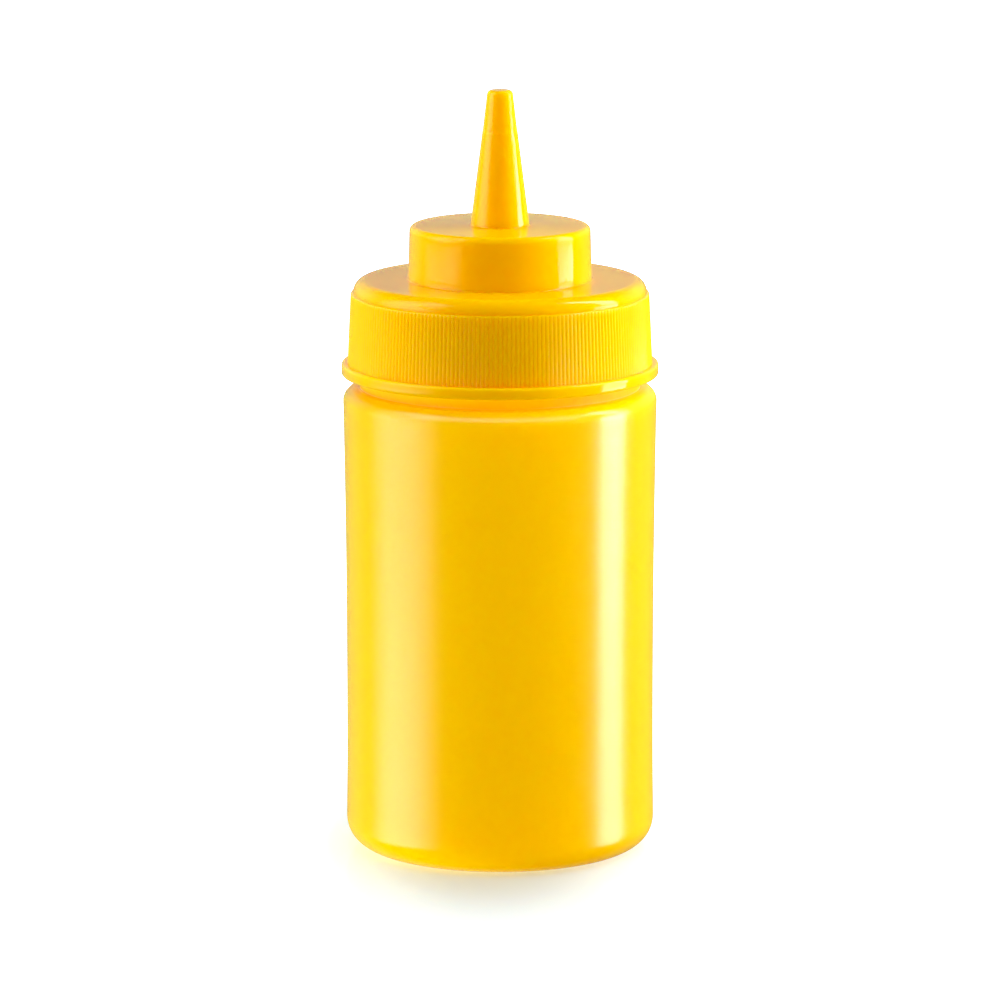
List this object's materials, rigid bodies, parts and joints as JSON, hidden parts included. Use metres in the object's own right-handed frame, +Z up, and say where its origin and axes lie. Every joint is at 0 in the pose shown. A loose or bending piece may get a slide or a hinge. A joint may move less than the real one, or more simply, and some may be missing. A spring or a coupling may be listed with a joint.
{
  "type": "wide-mouth squeeze bottle",
  "caption": "Round straight-walled squeeze bottle with a wide ribbed cap, a raised step on the cap and a long tapered nozzle, in yellow plastic.",
  "frame": {"origin": "centre of the base, on the surface the bottle stands on", "axes": "+Z up along the bottle's axis, from the base to the nozzle's tip; the piece is round, so X and Y are any two level directions"},
  "size_m": [0.0706, 0.0706, 0.1708],
  "materials": {
    "bottle_plastic": "satin opaque yellow polyethylene, blow-moulded",
    "cap_plastic": "glossy opaque yellow polyethylene, injection-moulded"
  },
  "bodies": {
    "root": {"bottle": "bottle_plastic", "cap": "cap_plastic"}
  },
  "joints": []
}
